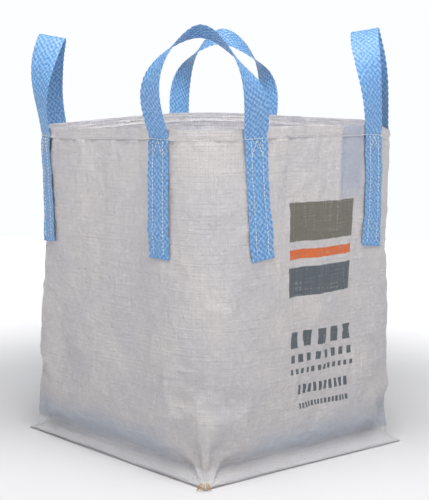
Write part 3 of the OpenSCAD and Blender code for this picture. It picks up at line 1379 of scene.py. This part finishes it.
def sew_leg(seed, end, line):
    """Two rows down a leg, and a short pointed tack under the hem."""
    bm = bmesh.new()
    side = end[1]
    high, low = hem_row_z() - 0.004, LEG_FOOT_Z + 0.012
    for row, off in enumerate(LEG_ROWS):
        path = []
        for k in shares(LEG_ROW_STEPS):
            z = mix(high, low, k)
            path.append(on_strap(end, line, off + 1.5 * MM * ripple(z * 14, row + side), z))
        phase = row + side * 2.0
        sewn_row(bm, seed, path, sizes().thread_width, wander=0.0012, phase=phase)
    for hand in (-1, 1):
        path = [
            on_strap(end, line, hand * TACK_HALF * k, hem_row_z() - 0.005 - TACK_DEPTH * k)
            for k in shares(TACK_STEPS)
        ]
        sewn_row(bm, seed, path, sizes().thread_width, wander=0.0008, phase=hand * 4.0)
    return bm


def sew_seam(seed):
    """A row along the fin and the tuft at its corner, whose faces use a second material."""
    bm = bmesh.new()
    path = []
    for t in shares(SEAM_STEPS):
        z = FIN_ROOT_Z - 0.022 + 1.6 * MM * ripple(t * 25, 1.0)
        path.append(Skin.at(t, z, 0.6 * MM))
    width = sizes().thread_width * 0.9
    sewn_row(bm, seed, path, width, gap_share=0.3, wander=0.0008, phase=9.0)
    tuft_from = len(bm.faces)
    tuft(bm, seed)
    bm.faces.ensure_lookup_table()
    for face in bm.faces[tuft_from:]:
        face.material_index = 1
    return bm


def tuft(bm, seed):
    """Cut thread ends that fray out of the seam at the foot's front left corner."""
    root, _ = Skin.at(NEAR_CORNER, FIN_ROOT_Z - 0.030)
    away = Vector((root.x, root.y, 0)).normalized()
    side = Vector((-away.y, away.x, 0))
    out = (away + Vector((0, 0, 0.6))).normalized()
    for number in range(TUFT_ENDS):
        swing = math.sin(number * 2.4) * 0.9
        reach = 0.010 + 0.010 * abs(math.cos(number * 1.7))
        path = []
        for k in shares(8):
            spot = root + side * (swing * 0.016 * (0.5 + k)) + away * (reach * k + 0.003)
            spot.z = mix(0.016 + 0.006 * math.sin(number * 5.1), 0.004, k * k)
            path.append((spot, out))
        sewn_row(bm, seed, path, TUFT_WIDTH, gap_share=-0.5, wander=0.001, phase=number)


class BAG_OT_sewing(bpy.types.Operator):
    """Rows of thread round the hem, down each leg and along the base seam"""

    bl_idname = "bag.sewing"
    bl_label = "Sewing"

    def execute(self, context):
        seed = stitch_seed()
        sewing_piece("hem_sewing", sew_hem(seed), "hem_stitch")
        lines = leg_lines()
        for end in LEGS:
            name = leg_name(*end)
            bm = sew_leg(seed, end, lines[end])
            sewing_piece(f"leg_sewing_{name}", bm, f"stitch_{name}")
        base = sewing_piece("base_sewing", sew_seam(seed), "base_seam_stitch")
        base.data.materials.append(material_of("undyed_thread", undyed_thread))
        seed.free()
        return {"FINISHED"}


# ---- Stage ---------------------------------------------------------------------------

CAMERA_AT = (-2.866, -3.031, 1.171)
CAMERA_PITCH, CAMERA_ROLL = math.radians(-8.28), math.radians(0.75)
FOCAL_LENGTH, SENSOR_WIDTH = 101.8, 36  # millimetres


class BAG_OT_stage(bpy.types.Operator):
    """Pale floor, soft studio light and the camera"""

    bl_idname = "bag.stage"
    bl_label = "Stage"

    def execute(self, context):
        paint = material_of("matt_studio_paint", matt_paint)
        bm = bmesh.new()
        bmesh.ops.create_circle(bm, cap_ends=True, segments=96, radius=4.5)
        floor = new_piece("floor", bm, paint, body=None, smooth_faces=False)

        world = bpy.data.worlds.new("soft_white_room")
        world.use_nodes = True
        tree = world.node_tree
        glow = tree.nodes["Background"]
        height = split(tree, coordinates(tree, "Generated"))[2]
        # White up to just over the horizon, and dimmer overhead.
        strength = maths(tree, "MULTIPLY_ADD", ramp(tree, height, 0.20, 0.07), 0.82, 0.24)
        fill(tree, glow, {"Color": rgba(hex_rgb("#F6F8FF")), "Strength": strength})
        context.scene.world = world
        context.scene.view_settings.view_transform = "Standard"

        def softbox(name, where, size, power, hue):
            light = bpy.data.lights.new(name, "AREA")
            light.shape = "RECTANGLE"
            light.size, light.size_y = size
            light.energy = power
            light.color = hex_rgb(hue)
            lamp = placed(name, light)
            lamp.location = where
            aim = Vector((0, 0, 0.5)) - Vector(where)
            lamp.rotation_euler = aim.to_track_quat("-Z", "Y").to_euler()

        softbox("key_softbox", (-1.7, -2.1, 3.4), (1.5, 1.2), 30, "#FFF8F2")
        softbox("overhead_softbox", (-0.5, -0.6, 3.3), (2.4, 2.4), 84, "#FFFFFF")

        lens = bpy.data.cameras.new("camera")
        lens.sensor_width = SENSOR_WIDTH
        lens.lens = FOCAL_LENGTH
        camera = placed("camera", lens)
        camera.location = CAMERA_AT
        level = Vector((-CAMERA_AT[0], -CAMERA_AT[1], 0)).normalized()
        forward = level * math.cos(CAMERA_PITCH) + Vector((0, 0, math.sin(CAMERA_PITCH)))
        aim = forward.to_track_quat("-Z", "Y").to_matrix()
        roll = Matrix.Rotation(CAMERA_ROLL, 3, "Z")
        camera.rotation_euler = (aim @ roll).to_euler()
        context.scene.camera = camera
        return {"FINISHED"}


# ---- Panel and registration ------------------------------------------------------------


class BAG_PT_panel(bpy.types.Panel):
    """Sizes, colours and steps of the bulk bag"""

    bl_idname = "BAG_PT_panel"
    bl_label = "Bulk bag"
    bl_space_type = "VIEW_3D"
    bl_region_type = "UI"
    bl_category = "Bulk bag"

    def draw(self, context):
        for group in (context.scene.bag_sizes, context.scene.bag_colours):
            for key in group.__annotations__:
                self.layout.prop(group, key)
        for step in STEPS:
            self.layout.operator(step.bl_idname)


STEPS = [BAG_OT_stage, BAG_OT_body, BAG_OT_webbing, BAG_OT_sewing]
CLASSES = [BagSizes, BagColours, *STEPS, BAG_PT_panel]


def register():
    for cls in CLASSES:
        bpy.utils.register_class(cls)
    bpy.types.Scene.bag_sizes = bpy.props.PointerProperty(type=BagSizes)
    bpy.types.Scene.bag_colours = bpy.props.PointerProperty(type=BagColours)


def unregister():
    del bpy.types.Scene.bag_sizes
    del bpy.types.Scene.bag_colours
    for cls in reversed(CLASSES):
        bpy.utils.unregister_class(cls)


def main():
    register()
    for step in STEPS:
        area, name = step.bl_idname.split(".")
        getattr(getattr(bpy.ops, area), name)()


if __name__ == "__main__":
    main()
